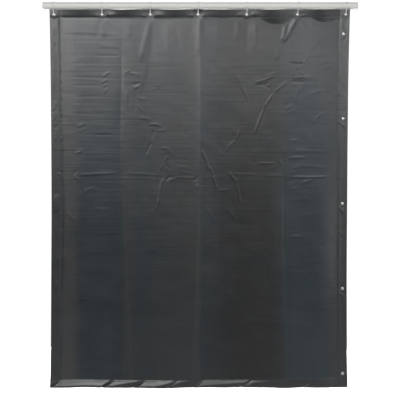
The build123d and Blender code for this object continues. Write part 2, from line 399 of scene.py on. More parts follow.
# wrinkles: from, to, half width, height forward, bow, and kind: g a ridge, s a terrace
FOLDS = [
    # streaks across the left third
    ((-645, -126), (-375, -139), 5.6, -0.35, 0.0, 's'),
    ((-477, -194), (-365, -200), 5.1, -0.35, 0.0, 's'),
    ((-505, -232), (-365, -234), 5.1, -0.42, 0.0, 'g'),
    ((-645, -269), (-449, -267), 5.1, -0.2, 0.0, 'g'),
    ((-627, -332), (-412, -337), 5.1, -0.2, 0.0, 'g'),
    ((-627, -372), (-449, -374), 5.1, -0.22, 0.0, 'g'),
    ((-608, -426), (-463, -423), 5.1, -0.2, 0.0, 'g'),
    ((-617, -505), (-412, -505), 5.6, -0.22, 0.0, 'g'),
    ((-505, -602), (-384, -604), 5.1, -0.36, 0.0, 'g'),
    ((-580, -673), (-393, -678), 6.1, -0.16, 0.0, 'g'),
    ((-585, -724), (-384, -720), 6.1, -0.16, 0.0, 'g'),
    # puckers beside the first crease
    ((-459, -335), (-414, -307), 6.1, 0.7, -2.8, 'g'),
    ((-468, -360), (-431, -342), 5.6, 0.5, 2.3, 'g'),
    ((-459, -377), (-428, -366), 5.1, 0.45, 0.0, 'g'),
    ((-449, -407), (-431, -384), 5.6, 0.4, 0.0, 'g'),
    ((-358, -314), (-323, -297), 5.6, 0.45, 2.8, 'g'),
    ((-337, -314), (-274, -330), 6.1, 0.6, -3.7, 'g'),
    ((-328, -367), (-272, -356), 5.6, -0.6, 2.8, 'g'),
    ((-312, -386), (-284, -371), 5.1, 0.8, 1.9, 'g'),
    ((-239, -400), (-188, -365), 7.0, 0.22, 4.7, 'g'),
    ((-235, -370), (-174, -377), 6.1, 0.2, -2.8, 'g'),
    ((-300, -416), (-249, -440), 7.0, 0.4, 5.6, 'g'),
    ((-337, -384), (-344, -496), 7.5, 0.55, 3.7, 'g'),
    ((-309, -402), (-302, -500), 7.5, -0.5, -3.7, 'g'),
    ((-295, -456), (-249, -498), 6.1, 0.4, 5.6, 'g'),
    ((-291, -524), (-221, -538), 6.1, 0.4, -3.7, 'g'),
    ((-246, -556), (-172, -565), 5.6, 0.7, -6.5, 'g'),
    ((-207, -584), (-155, -575), 6.1, 0.4, 3.7, 'g'),
    ((-218, -575), (-225, -631), 5.6, -0.55, 1.4, 'g'),
    ((-225, -631), (-256, -701), 5.6, -0.65, 2.3, 'g'),
    ((-188, -664), (-127, -687), 6.1, 0.5, -7.0, 'g'),
    ((-174, -678), (-113, -708), 6.1, 0.35, -5.6, 'g'),
    ((-146, -696), (-169, -734), 5.6, 0.5, 1.9, 'g'),
    ((-169, -734), (-183, -766), 5.6, 0.5, 2.3, 'g'),
    ((-160, -743), (-132, -766), 5.6, -0.4, 0.0, 'g'),
    ((-132, -720), (-20, -748), 6.1, 0.2, -4.7, 'g'),
    ((-123, -748), (-15, -771), 6.1, 0.2, -3.7, 'g'),
    ((-104, -776), (-11, -792), 5.6, 0.3, -2.8, 'g'),
    # puckers of the left third, lower down
    ((-585, -566), (-536, -542), 6.1, 0.45, 4.2, 'g'),
    ((-589, -584), (-529, -570), 6.1, 0.3, 4.2, 'g'),
    ((-594, -689), (-547, -666), 6.1, 0.5, 5.1, 'g'),
    ((-598, -787), (-571, -759), 5.6, -0.5, 1.4, 'g'),
    ((-598, -788), (-566, -815), 5.6, 0.5, 1.9, 'g'),
    ((-561, -876), (-489, -847), 6.1, 0.4, -2.3, 'g'),
    ((-566, -853), (-543, -874), 6.5, -0.4, 0.0, 'g'),
    ((-505, -934), (-412, -939), 7.5, -0.3, 0.0, 'g'),
    ((-501, -972), (-412, -967), 7.5, -0.25, 0.0, 'g'),
    ((-636, -953), (-580, -1009), 9.3, 0.4, 4.7, 'g'),
    # packing crease across the middle
    ((-599, -789), (-370, -777), 5.6, 0.6, 2.3, 'g'),
    ((-368, -781), (-146, -793), 5.4, 0.3, -1.4, 'g'),
    ((-141, -799), (-11, -804), 5.6, 0.4, 0.0, 'g'),
    ((-1, -800), (134, -797), 5.6, 0.25, 0.0, 'g'),
    ((125, -785), (288, -787), 5.6, 0.4, 0.0, 'g'),
    ((288, -790), (400, -796), 5.6, 0.35, 0.0, 'g'),
    ((400, -799), (638, -795), 5.1, 1.0, 2.8, 'g'),
    # long wrinkle running down from the crease
    ((-133, -793), (-162, -818), 6.1, -1.0, 1.4, 'g'),
    ((-167, -804), (-186, -860), 6.5, 1.1, 4.7, 'g'),
    ((-184, -836), (-192, -925), 6.1, 1.05, 0.9, 'g'),
    ((-190, -895), (-207, -965), 6.1, 0.9, 0.9, 'g'),
    ((-113, -804), (-141, -818), 5.6, 0.5, 0.0, 'g'),
    ((-20, -860), (-6, -827), 6.1, 0.5, 0.0, 'g'),
    ((-39, -822), (-6, -794), 6.1, -0.5, 1.9, 'g'),
    # wrinkles right of the middle crease
    ((1, -668), (34, -743), 5.1, 0.7, -3.7, 'g'),
    ((32, -734), (42, -771), 5.1, 0.8, -0.9, 'g'),
    ((47, -748), (58, -794), 5.1, 0.8, -0.9, 'g'),
    ((57, -785), (78, -864), 5.1, 0.8, -1.4, 'g'),
    ((76, -863), (134, -855), 5.1, 0.45, 1.4, 'g'),
    ((22, -813), (8, -841), 6.1, -0.4, 0.0, 'g'),
    ((127, -778), (155, -806), 5.6, 0.5, -2.3, 'g'),
    ((144, -793), (171, -827), 5.1, 0.9, -2.8, 'g'),
    ((169, -822), (186, -934), 5.6, 0.6, -2.8, 'g'),
    ((179, -832), (195, -906), 5.6, -0.4, -2.8, 'g'),
    ((191, -566), (168, -631), 5.6, 0.5, 2.3, 'g'),
    ((170, -624), (113, -690), 5.6, 0.6, 5.6, 'g'),
    ((161, -566), (153, -608), 5.6, 0.35, 0.0, 'g'),
    ((88, -673), (111, -701), 6.1, 0.3, 0.0, 'g'),
    ((111, -934), (176, -1018), 7.0, 0.35, -4.7, 'g'),
    ((4, -920), (74, -1018), 7.5, 0.4, -4.7, 'g'),
    ((256, -734), (363, -732), 5.1, 0.65, 1.4, 'g'),
    ((326, -766), (354, -745), 5.6, 0.4, 0.0, 'g'),
    ((130, -883), (167, -953), 6.1, -0.3, 0.0, 'g'),
    # wrinkles of the right half, upper part
    ((167, -318), (188, -370), 6.1, 0.3, -1.9, 'g'),
    ((186, -365), (230, -458), 6.1, 0.45, -3.7, 'g'),
    ((242, -363), (354, -323), 6.1, 0.75, 2.8, 'g'),
    ((288, -330), (368, -309), 5.6, 0.5, 2.3, 'g'),
    ((260, -374), (326, -358), 5.1, -0.6, 1.9, 'g'),
    ((288, -365), (330, -386), 5.1, -0.5, 1.4, 'g'),
    ((232, -344), (288, -343), 5.6, 0.25, 0.0, 'g'),
    ((405, -254), (494, -264), 5.6, 0.7, 1.9, 'g'),
    ((410, -269), (494, -273), 5.1, -0.35, 0.0, 'g'),
    ((419, -334), (517, -330), 5.6, 0.6, 2.3, 'g'),
    ((414, -355), (494, -357), 5.6, -0.75, -1.4, 'g'),
    ((419, -331), (456, -302), 5.1, 0.5, -1.4, 'g'),
    ((438, -318), (461, -295), 4.7, -0.6, 0.0, 'g'),
    ((463, -307), (484, -323), 5.1, 0.6, 0.0, 'g'),
    ((484, -342), (531, -328), 5.6, 0.45, 2.8, 'g'),
    ((468, -367), (449, -430), 7.9, 0.5, 1.9, 'g'),
    ((484, -384), (470, -440), 7.9, -0.35, 1.9, 'g'),
    ((396, -484), (433, -461), 7.9, 0.6, 1.4, 'g'),
    ((405, -500), (452, -482), 7.5, 0.35, 0.0, 'g'),
    ((522, -552), (573, -491), 8.4, 0.55, 2.3, 'g'),
    ((540, -281), (624, -241), 7.9, 0.4, 5.6, 'g'),
    ((554, -300), (629, -267), 7.9, 0.3, 4.7, 'g'),
    ((503, -412), (568, -393), 7.0, 0.35, 2.8, 'g'),
    ((494, -192), (606, -178), 7.0, 0.25, 1.9, 'g'),
    ((410, -211), (522, -216), 7.0, 0.3, 1.4, 'g'),
    ((466, -234), (606, -230), 7.0, 0.25, 1.4, 'g'),
    # the long diagonal wrinkle
    ((556, -148), (509, -227), 5.8, 0.5, 1.4, 'g'),
    ((511, -223), (472, -295), 5.6, 0.5, 1.4, 'g'),
    ((410, -349), (341, -411), 5.4, 0.65, 1.9, 'g'),
    ((346, -405), (297, -479), 5.1, 0.85, 2.3, 'g'),
    ((299, -475), (252, -608), 5.1, 1.25, 2.3, 'g'),
    ((311, -472), (264, -590), 6.1, -0.35, 2.3, 'g'),
    # wrinkles beside the third crease
    ((390, -643), (388, -710), 5.1, 0.7, 0.0, 'g'),
    ((368, -720), (386, -748), 6.1, 0.5, 0.0, 'g'),
    ((405, -713), (494, -708), 5.4, 0.75, -1.4, 'g'),
    ((410, -630), (461, -626), 5.6, 0.5, 0.0, 'g'),
    ((428, -759), (466, -750), 7.0, 0.6, 1.4, 'g'),
    ((419, -780), (466, -766), 6.1, 0.4, 0.0, 'g'),
    ((461, -837), (538, -806), 5.6, 0.7, -3.3, 'g'),
    ((405, -857), (466, -850), 6.1, 0.4, 0.0, 'g'),
    ((400, -822), (447, -813), 6.1, -0.4, 0.0, 'g'),
    ((405, -1077), (482, -1074), 5.1, 0.75, 0.9, 'g'),
    ((419, -673), (620, -682), 7.5, 0.3, 2.3, 'g'),
    ((414, -743), (620, -762), 7.0, 0.35, -3.3, 'g'),
    ((419, -906), (522, -892), 7.5, 0.3, 2.8, 'g'),
    ((380, -841), (378, -1163), 6.1, 0.4, 0.9, 'g'),
    ((402, -841), (401, -1196), 5.6, 0.4, 0.9, 'g'),
    ((636, -1055), (573, -1123), 7.5, 0.55, 2.3, 'g'),
    ((575, -1119), (552, -1168), 7.0, 0.4, 2.3, 'g'),
    ((629, -813), (601, -832), 6.5, 0.4, 0.0, 'g'),
    ((466, -976), (606, -953), 8.4, 0.3, 4.7, 'g'),
    ((414, -1246), (487, -1240), 5.6, 0.5, 1.9, 'g'),
    ((414, -1214), (480, -1198), 5.6, 0.35, 2.8, 'g'),
    ((419, -1270), (452, -1256), 5.6, 0.4, 0.0, 'g'),
    ((512, -1238), (564, -1214), 5.6, 0.45, 3.7, 'g'),
    ((517, -1252), (573, -1245), 5.6, 0.35, -3.7, 'g'),
    ((517, -1294), (547, -1312), 5.6, 0.5, 1.4, 'g'),
    ((494, -1280), (526, -1270), 5.6, 0.35, 0.0, 'g'),
    ((410, -1326), (466, -1345), 6.5, 0.3, 2.3, 'g'),
    ((410, -1436), (489, -1434), 5.4, 0.5, 0.0, 'g'),
    ((414, -1450), (480, -1449), 5.4, 0.35, 0.0, 'g'),
    ((419, -1463), (456, -1462), 5.4, 0.45, 0.0, 'g'),
    ((424, -1490), (424, -1550), 5.6, 0.4, 0.0, 'g'),
    ((428, -1560), (438, -1616), 6.1, 0.35, 0.0, 'g'),
    ((522, -1734), (644, -1702), 6.1, 0.9, 2.8, 'g'),
    ((230, -1743), (740, -1743), 5.0, 1.2, 0.0, 'g'),
    ((433, -1709), (494, -1732), 7.0, 0.35, 2.8, 'g'),
    ((288, -1224), (307, -1326), 7.0, 0.3, 3.7, 'g'),
    ((316, -1280), (340, -1233), 6.5, 0.25, 2.3, 'g'),
    # lower left
    ((-627, -1560), (-608, -1616), 7.5, 0.4, 2.8, 'g'),
    ((-636, -1644), (-543, -1681), 8.4, 0.5, 5.6, 'g'),
    ((-384, -1578), (-375, -1709), 7.5, 0.4, 0.9, 'g'),
    ((-570, -1702), (-440, -1716), 6.5, 0.5, -2.0, 'g'),
    ((-197, -1662), (-113, -1639), 8.4, 0.35, 3.7, 'g'),
    ((-235, -1233), (-202, -1336), 9.3, 0.3, 4.7, 'g'),
    ((-20, -1284), (-6, -1317), 6.1, 0.4, 0.0, 'g'),
    # pulls beside the press studs
    ((656, -535), (681, -566), 4.7, 2.1, 0.5, 'g'),
    ((660, -932), (677, -964), 4.7, 2.0, 1.2, 'g'),
    ((658, -1052), (677, -1073), 4.7, 1.6, 0.5, 'g'),
    ((659, -796), (672, -804), 5.1, 1.3, 0.0, 'g'),
    ((666, -1340), (680, -1352), 4.7, 0.9, 0.0, 'g'),
    ((657, -1466), (676, -1490), 6.1, 0.7, 0.0, 'g'),
    ((655, -1672), (673, -1702), 5.6, 0.9, 0.0, 'g'),
    ((645, -360), (664, -430), 7.5, 0.8, 1.9, 'g'),
    ((664, -262), (677, -393), 7.5, 0.8, 1.4, 'g'),
    ((657, -160), (676, -244), 7.0, 0.7, 0.9, 'g'),
    ((650, -580), (666, -720), 6.5, 0.7, 0.9, 'g'),
    ((676, -589), (674, -743), 5.6, 0.6, 0.0, 'g'),
    ((652, -836), (669, -892), 6.1, 0.6, 0.9, 'g'),
    ((655, -1116), (676, -1196), 7.0, 0.6, 1.4, 'g'),
    ((683, -148), (678, -205), 5.2, 0.9, 0.5, 'g'),
    ((672, -144), (667, -176), 5.0, -0.8, 0.0, 'g'),
    ((679, -536), (684, -580), 5.0, 1.5, 0.5, 'g'),
    ((678, -932), (682, -980), 5.0, 1.2, 0.5, 'g'),
    ((676, -1335), (681, -1372), 5.0, 0.9, 0.5, 'g'),
    ((676, -1722), (682, -1750), 5.0, 0.7, 0.5, 'g'),
    # pulls in the left hem
    ((-691, -127), (-676, -188), 6.5, 1.5, 1.4, 'g'),
    ((-668, -118), (-669, -253), 6.5, 0.9, 0.5, 'g'),
    ((-693, -262), (-685, -393), 6.5, 0.8, 0.9, 'g'),
    ((-683, -440), (-687, -496), 6.1, 0.9, 0.9, 'g'),
    ((-687, -514), (-676, -542), 5.1, 1.3, 0.9, 'g'),
    ((-673, -556), (-685, -640), 6.5, 0.8, 1.4, 'g'),
    ((-676, -782), (-657, -789), 5.1, 0.9, 0.0, 'g'),
    ((-678, -878), (-664, -902), 6.1, 0.8, 0.9, 'g'),
    ((-687, -1000), (-673, -1093), 6.5, 0.6, 1.4, 'g'),
    ((-671, -1168), (-666, -1196), 5.6, 0.8, 0.0, 'g'),
    ((-690, -1513), (-673, -1583), 7.0, 0.7, 1.4, 'g'),
    ((-690, -1280), (-680, -1420), 7.0, 0.5, 0.9, 'g'),
    ((-687, -1630), (-669, -1709), 7.0, 0.6, 1.4, 'g'),
    # folds spreading from the hooks
    ((-226, -50), (-279, -275), 13.5, 1.5, 3.7, 'g'),
    ((-231, -52), (-281, -440), 9.3, 0.65, -13.0, 's'),
    ((-452, -57), (-445, -160), 12.1, 0.6, 1.4, 'g'),
    ((-466, -57), (-477, -150), 13.1, -0.7, 1.4, 'g'),
    ((-440, -57), (-403, -94), 12.1, 0.4, 0.0, 'g'),
    ((-676, -52), (-664, -132), 7.9, 1.2, 0.9, 'g'),
    ((-652, -52), (-650, -160), 8.4, -0.9, 0.0, 'g'),
    ((-5, -52), (-11, -253), 10.3, 1.2, 0.5, 'g'),
    ((-48, -62), (-32, -127), 12.1, -0.6, -1.9, 'g'),
    ((13, -57), (29, -141), 12.1, -0.6, 1.9, 'g'),
    ((221, -50), (215, -230), 16.0, -1.4, 0.0, 'g'),
    ((255, -57), (259, -215), 9.0, 1.0, -1.4, 'g'),
    ((181, -62), (172, -178), 12.9, 1.0, 1.4, 'g'),
    ((466, -38), (382, -190), 10.2, 3.0, 4.2, 'g'),
    ((402, -85), (379, -175), 8.0, 1.7, 0.9, 'g'),
    ((419, -94), (398, -197), 10.3, -1.3, 3.3, 'g'),
    ((461, -59), (494, -122), 10.3, 0.5, -1.9, 'g'),
    ((500, -58), (535, -100), 9.0, 0.5, -2.8, 'g'),
    ((377, -178), (354, -262), 12.1, 0.9, 1.4, 'g'),
    ((669, -52), (657, -113), 7.5, 1.0, 0.9, 'g'),
    ((-366, -64), (-364, -244), 5.1, 0.4, 0.0, 'g'),
    ((645, -52), (643, -253), 5.1, -0.7, 0.0, 'g'),
    ((690, -48), (683, -253), 5.1, 0.8, 0.0, 'g'),
    ((676, -57), (675, -118), 4.7, -0.6, 0.0, 'g'),
    ((-337, -66), (-323, -150), 12.1, 0.7, 2.3, 'g'),
    ((-160, -76), (-141, -253), 15.9, 0.8, 2.8, 'g'),
    ((-113, -66), (-95, -216), 15.9, -0.7, 2.8, 'g'),
    ((74, -76), (88, -244), 15.9, 0.7, 1.9, 'g'),
    ((-575, -85), (-561, -253), 16.8, -0.6, 2.3, 'g'),
]

# packing creases down the sheet: path (v, u), falling width left and right, and height down the path
CREASES = [
    ([-1790, -1500, -1250, -1050, -880, -780, -300, -40], [-324, -330, -341, -350, -358, -367, -367, -366],
     46, 24, [-0.9, -0.9, -1.0, -1.3, -1.8, -2.0, -1.4, -0.2]),
    ([-1790, -1500, -1250, -1050, -880, -780, -300, -40], [-324, -330, -341, -350, -358, -367, -367, -366],
     16, 9, [0, 0, -0.1, -0.2, -0.5, -0.7, -1.2, -0.2]),
    ([-1790, -1500, -1250, -1050, -880, -780, -300, -40], [-44, -26, -19, -13, -8, -4, 1, -1],
     26, 44, [2.2, 2.3, 2.3, 2.4, 2.7, 3.0, 3.1, 2.0]),
    ([-1790, -1500, -1250, -1050, -880, -780, -300, -40], [-44, -26, -19, -13, -8, -4, 1, -1],
     8, 20, [0.45, 0.45, 0.45, 0.5, 0.55, 0.6, 0.9, 0.5]),
    ([-1790, -1500, -1250, -1050, -880, -780, -300, -40], [404, 402, 398, 391, 389, 387, 381, 380],
     52, 30, [-1.5, -1.5, -1.6, -1.6, -1.6, -1.5, -0.7, 0.0]),
]

# swollen patches beside the eyelets: u, v, half width, half height, height forward
PUFFS = [
    (-421, -43, 19, 9.0, 4.0),
    (-474, -45, 16, 7, 1.5),
    (-196, -43, 20, 8.5, 3.8),
    (-252, -46, 17, 7, 1.6),
    (14, -45, 12, 7, 1.2),
    (-34, -46, 16, 7, 1.4),
    (252, -40, 15, 8.0, 3.8),
    (188, -43, 11, 7.5, 1.8),
    (473, -27, 7, 4.5, 1.2),
    (481, -45, 7, 4.5, 1.2),
    (648, -58, 14, 4, 0.8),
    (612, -58, 16, 4, 0.8),
]


def flat_u(x, z):
    """The flat coordinate of a point of a side hem that hangs at x."""
    if x > 0:
        return x - (float(curve(LEFT_Z, RIGHT_X, z)) - U_R)
    return x - (float(curve(LEFT_Z, LEFT_X, z)) - U_L)


def window(u0, u1, v0, v1):
    i0, i1 = np.searchsorted(GU, [u0, u1])
    j0, j1 = np.searchsorted(GV, [v0, v1])
    return slice(i0, i1), slice(j0, j1)


def add_fold(F, p0, p1, w, amp, bow, kind):
    (x0, y0), (x1, y1) = p0, p1
    dx, dy = x1 - x0, y1 - y0
    n2 = dx * dx + dy * dy
    n = math.sqrt(n2)
    pad = (7 if kind == "s" else 3) * w + abs(bow)
    c = window(min(x0, x1) - pad, max(x0, x1) + pad, min(y0, y1) - pad, max(y0, y1) + pad)
    u, v = U[c], V[c]
    t = ((u - x0) * dx + (v - y0) * dy) / n2
    s = ((u - x0) * dy - (v - y0) * dx) / n
    s = s - bow * 4 * t * (1 - t)
    ends = step(0, 0.3, t) * step(0, 0.3, 1 - t)
    if kind == "s":
        p = np.tanh(s / w) * np.exp(-((s / (3.5 * w)) ** 2))
    else:
        p = np.exp(-((s / w) ** 2))
    F[c] += amp * ends * p


LIP_U = [-655, -600, -561, -458, -384, -281, -188, -95, 115, 185, 240, 285, 700]
LIP = [1.10, 1.10, 1.00, 1.00, 0.80, 0.70, 0.30, 0.15, 0.40, 1.00, 0.70, 0.0, 0.0]


def hang_depth():
    """Height field of the sheet, mm forward, on the whole grid."""
    # broad shape: smooth across the columns, then down the rows
    rows = np.array([curve(NET_U, r, GU) for r in NET])
    F = np.array([curve(NET_V, rows[:, i], GV) for i in range(len(GU))])
    # the upper hem leans its top edge forward; below it the film swells out
    tilt = curve(NET_U, [.08, .07, .18, .07, .19, .07, .18, .07, .18, .07, .17, .06, .21, .05, .05], GU)[:, None]
    swell = curve(NET_U, [3, 3.5, 8.3, 2.5, 4.4, 2.0, 6.0, 1.5, 6.5, 3.2, 4.6, 2.6, 2.6, 2.6, 1.5], GU)[:, None]
    reach = curve(NET_U, [90, 90, 95, 80, 80, 75, 75, 70, 70, 60, 40, 44, 40, 60, 60], GU)[:, None]
    low = np.full(len(GU), HEM_TOP)
    for uc, hw, deep in ((356, 76, 30.0), (582, 62, 19.0)):
        low = low - deep * np.clip(1 - ((GU - uc) / hw) ** 2, 0, 1) ** 0.8
    low = low[:, None]
    d = V - low
    soft = 2.2
    up = soft * np.log1p(np.exp(np.clip(d / soft, -30, 30)))
    down = soft * np.log1p(np.exp(np.clip(-d / soft, -30, 30)))
    F = F + tilt * up - swell * np.exp(-down / reach)
    # just under the seam the single film turns out more sharply
    F = F - np.interp(GU, LIP_U, LIP)[:, None] * np.exp(-down / 5.0)
    for zs, us, wl, wr, hs in CREASES:
        s = U - curve(zs, us, GV)[None]
        h = curve(zs, hs, GV)[None]
        r = np.sqrt(s * s + 1.6**2) - 1.6
        F = F + h * np.exp(-r / np.where(s < 0, wl, wr))
    for fold in FOLDS:
        add_fold(F, *fold)
    # drape, crumple and calender streaks
    F = F + 1.3 * lattice(U, V, 170, 420, 3) * step(-60, -260, V)
    F = F + 0.42 * lattice(U, V, 75, 150, 5)
    F = F + 0.20 * lattice(U + 0.3 * V, V, 46, 60, 6)
    F = F + 0.07 * lattice(U, V, 240, 17, 7) * step(-1500, -200, V)
    F = F + 0.035 * lattice(U, V, 120, 9, 8)
    F = F + 0.10 * lattice(U, V, 26, 26, 9)
    for u, v, a, b, h in PUFFS:
        F = F + h * np.exp(-(((U - u) / a) ** 2) - ((V - v) / b) ** 2)
    # seams pull in, and pucker
    for v, seed in ((HEM_TOP + SEAM_IN, 11), (HEM_LOW - SEAM_IN, 12)):
        d = V - v
        F = F + (-0.35 - 0.5 * step(-380, -450, U) * (seed == 11) + 0.35 * lattice(U, V * 0, 15, 50, seed)) * np.exp(-((d / 6) ** 2))
    for u, seed, deep in ((HEM_LEFT, 13, 1.5), (HEM_RIGHT, 14, 1.0)):
        d = U - u
        F = F + (-deep + 0.4 * lattice(U * 0, V, 50, 16, seed)) * np.exp(-((d / 4.8) ** 2))
    F = F + 0.55 * np.exp(-(((U - 662) / 5) ** 2)) + (1.6 + 2.6 * step(-1150, -500, V)) * np.exp(-(((U - 704) / 13) ** 2))
    F = F + 0.6 * np.exp(-(((U + 690) / 5) ** 2)) * step(-500, -120, V)
    # lower hem: leaves standing forward between slanted twists, each closing towards its end
    side = 1 - 0.35 * (step(HEM_LEFT + 8, HEM_LEFT - 12, U) + step(HEM_RIGHT - 8, HEM_RIGHT + 12, U))
    below = (HEM_LOW - 1 - V) / (HEM_LOW - 1 - V_B)
    lean = U - 1.4 * (V - (HEM_LOW + V_B) / 2)
    kick = np.zeros_like(U)
    for a, b, k, near, far, bend in LEAVES:
        leaf = k * step(a, a + 15, lean) * step(b, b - 15, lean)
        end = near + (far - near) * np.clip((U - a) / (b - a), 0, 1) ** bend
        over = 0.05 * np.log1p(np.exp(np.clip((below - end) / 0.05, -30, 30)))
        F = F + leaf * (np.clip(below, 0, 2) - 1.05 * over) / side
        kick = kick + leaf
    F = F - 1.7 * step(V_B + 8, V_B + 1, V) * np.clip(kick / 10, 0.3, 1)
    # above the lower hem the film turns in on the left, forward on the right
    F = F + np.interp(GU, [-700, -100, 100, 300, 450, 700], [-0.5, -0.4, 0.0, 0.3, 0.5, 0.5])[:, None] * np.exp(-np.maximum(V - HEM_LOW, 0) / 7.0) * step(V_B, HEM_LOW, V)
    # flat where an eyelet or a press stud clamps it
    Q = np.ones_like(U)
    for e in EY:
        c = window(e.x - 36, e.x + 36, e.z - 36, e.z + 36)
        r = np.hypot(U[c] - e.x, V[c] - e.z)
        Q[c] *= step(9.0, 30.0, r)
    F0 = F.copy()
    F = F * Q
    for e in EY:
        c = window(e.x - 36, e.x + 36, e.z - 36, e.z + 36)
        F[c] += (1 - Q[c]) * 0.045 * (V[c] - e.z)
    Q = np.ones_like(U)
    for x, z in CAPS + BALLS:
        uf = flat_u(x, z)
        c = window(uf - 30, uf + 30, z - 60, z + 60)
        r = np.hypot(U[c] - uf, np.maximum(np.abs(V[c] - z) - 7, 0) / (2.4 if x < 0 else 1.3))
        Q[c] *= step(8.0, 17.0, r)
    return F * Q * side


# leaves of the lower hem: from, to (mm across), forward at the lower edge, how far down the
# leaf reaches at its left and at its right end, and how that falls between them
LEAVES = [
    (-704, -680, 14.0, 1.2, 1.2, 1.0),
    (-684, -430, 15.8, 0.82, 0.78, 1.0),
    (-434, -280, 16.5, 0.90, 0.12, 0.8),
    (-285, -127, 16.5, 0.90, 0.20, 2.0),
    (-129, -40, 9.0, 0.80, 0.12, 0.5),
    (-10, 217, 12.5, 0.95, 0.40, 0.6),
    (219, 364, 8.0, 0.85, 0.12, 0.5),
    (364, 500, 2.5, 1.0, 1.0, 1.0),
    (500, 640, 3.0, 1.0, 1.0, 1.0),
]


def make_sheet():
    F = hang_depth()
    left = (curve(LEFT_Z, LEFT_X, GV) - U_L)[None]
    right = (curve(LEFT_Z, RIGHT_X, GV) - U_R)[None]
    X = U + left * step(HOOK_X[1] - 20, ROOT_OUT[0], U) + right * step(HOOK_X[5] + 20, ROOT_IN[5], U)
    # the upper edge dips a little between the hooks
    sag = np.zeros(len(GU))
    for k in range(6):
        a, b = HOOK_X[k], HOOK_X[k + 1]
        t = np.clip((GU - a) / (b - a), 0, 1)
        sag = sag + [0.3, 0.5, 0.9, 0.8, 0.0, -0.75][k] * np.sin(math.pi * t) ** 2
    sag = sag + 1.0 * np.exp(-(((GU + 372) / 24) ** 2)) + 0.15 * lattice(GU, GU * 0, 60, 60, 31)
    Z = V - (sag * (1 - np.exp(-((np.min([abs(GU - x) for x in HOOK_X], 0) / 22) ** 2))))[:, None] * step(-160, -22, V)
    # where the hem leans forward its edge sits lower, clear of the rail when it swings
    Z = Z + (1.9 - np.clip((F - 3) * 0.28, 0, 2.2)) * step(-42, -18.5, V)
    # and the lower edge waves
    wave = 1.5 * np.sin(GU / 97.0 + 0.6) + 1.0 * np.sin(GU / 41.0 + 2.0) + 0.5 * np.sin(GU / 23.0)
    Z = Z + wave[:, None] * step(-1690, -1781, V)
    P = np.stack([X, -F, Z], -1)
    du = np.gradient(P, STEP, axis=0)
    dv = np.gradient(P, STEP, axis=1)
    N = np.cross(du, dv)
    N /= np.linalg.norm(N, axis=-1, keepdims=True)
    return np.concatenate([P, N], -1)


SHEET = make_sheet()


def sample(grid, u, v):
    x = np.clip((u - GU[0]) / STEP, 0, len(GU) - 1.001)
    y = np.clip((v - GV[0]) / STEP, 0, len(GV) - 1.001)
    i, j = x.astype(int), y.astype(int)
    fx, fy = (x - i)[..., None], (y - j)[..., None]
    return (grid[i, j] * (1 - fx) + grid[i + 1, j] * fx) * (1 - fy) + (grid[i, j + 1] * (1 - fx) + grid[i + 1, j + 1] * fx) * fy


def half_thickness(u, v):
    body, hem = 0.2, 0.5
    e = 1.8
    k = np.maximum.reduce([
        step(HEM_TOP - e, HEM_TOP + e, v),
        step(HEM_LOW + e, HEM_LOW - e, v),
        step(HEM_LEFT + e, HEM_LEFT - e, u),
        step(HEM_RIGHT - e, HEM_RIGHT + e, u),
    ])
    h = body + (hem - body) * k
    # the seam pulls the layers together
    groove = np.maximum.reduce([
        np.exp(-(((v - HEM_TOP - SEAM_IN) / 1.6) ** 2)),
        np.exp(-(((v - HEM_LOW + SEAM_IN) / 1.6) ** 2)),
        np.exp(-(((u - HEM_LEFT + SEAM_IN) / 1.6) ** 2)),
        np.exp(-(((u - HEM_RIGHT - SEAM_IN) / 1.6) ** 2)),
    ])
    return h - 0.12 * groove * k


def both_sides(u, v):
    """Front and back points, mm, with their outward normals."""
    e = 0.8
    s = sample(SHEET, u, v)
    p, n = s[..., :3], s[..., 3:]
    n = n / np.linalg.norm(n, axis=-1, keepdims=True)
    h = half_thickness(u, v)
    hu = (half_thickness(u + e, v) - half_thickness(u - e, v)) / (2 * e)
    hv = (half_thickness(u, v + e) - half_thickness(u, v - e)) / (2 * e)
    front, back = p + n * h[..., None], p - n * h[..., None]
    tu = np.zeros_like(n)
    tu[..., 0] = 1
    tv = np.zeros_like(n)
    tv[..., 2] = 1
    nf = n - tu * hu[..., None] - tv * hv[..., None]
    nb = -n - tu * hu[..., None] - tv * hv[..., None]
    nf /= np.linalg.norm(nf, axis=-1, keepdims=True)
    nb /= np.linalg.norm(nb, axis=-1, keepdims=True)
    return front, back, nf, nb


# columns across the sheet: its bluish to warm colour, partly painted colour reflection, and its painted shading,
# lighter or darker
TONE_U = [-704, -652, -646, -622, -594, -561, -421, -384, -369, -363, -337, -281, -235, -188, -71, -6, 0, 6, 55, 101, 185, 325, 379, 389, 512, 605, 640, 700]
HUE_AND_PAINTED_REFLECTION = [0.3, 0.3, 0.7, 0.8, 0.3, -0.6, -0.7, -1.0, -0.9, 0.0, 0.2, -0.4, -0.3, 0.1, 0.45, 0.4, 0.3, -0.6, -0.4, 0.2, 0.6, 0.5, 0.3, -0.8, -1.0, -0.7, 0.2, 0.3]
PAINTED_SHADING = [0.85, 0.85, 1.40, 1.45, 1.25, 0.92, 0.88, 0.78, 0.80, 0.95, 1.0, 0.90, 0.90, 0.94, 0.98, 1.10, 1.0, 0.82, 0.73, 0.56, 0.46, 0.52, 0.74, 0.98, 1.08, 1.02, 1.05, 1.0]


